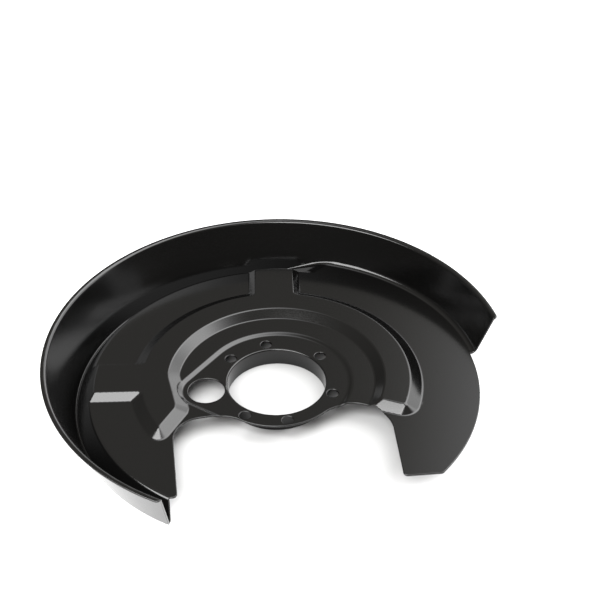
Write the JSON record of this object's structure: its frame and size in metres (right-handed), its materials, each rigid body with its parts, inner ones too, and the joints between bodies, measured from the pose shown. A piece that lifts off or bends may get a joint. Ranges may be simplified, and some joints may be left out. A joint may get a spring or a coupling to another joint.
{
  "type": "brake dust shield",
  "caption": "Pressed sheet-steel brake dust shield: open-sided bowl with raised ring, spokes, edge gutter, bored hub with bolt holes and a caliper cut-out.",
  "frame": {"origin": "centre of the hub bore on the hub's upper face, midway between the two bolt holes of the middle pair", "axes": "+Z along the bore, out of the bowl towards the wheel; -X towards the big round hole; -Y towards the caliper cut-out"},
  "size_m": [0.32, 0.2876, 0.0444],
  "materials": {
    "black_coat": "satin gloss black dip coat"
  },
  "bodies": {
    "root": {"dust_shield": "black_coat"}
  },
  "joints": []
}
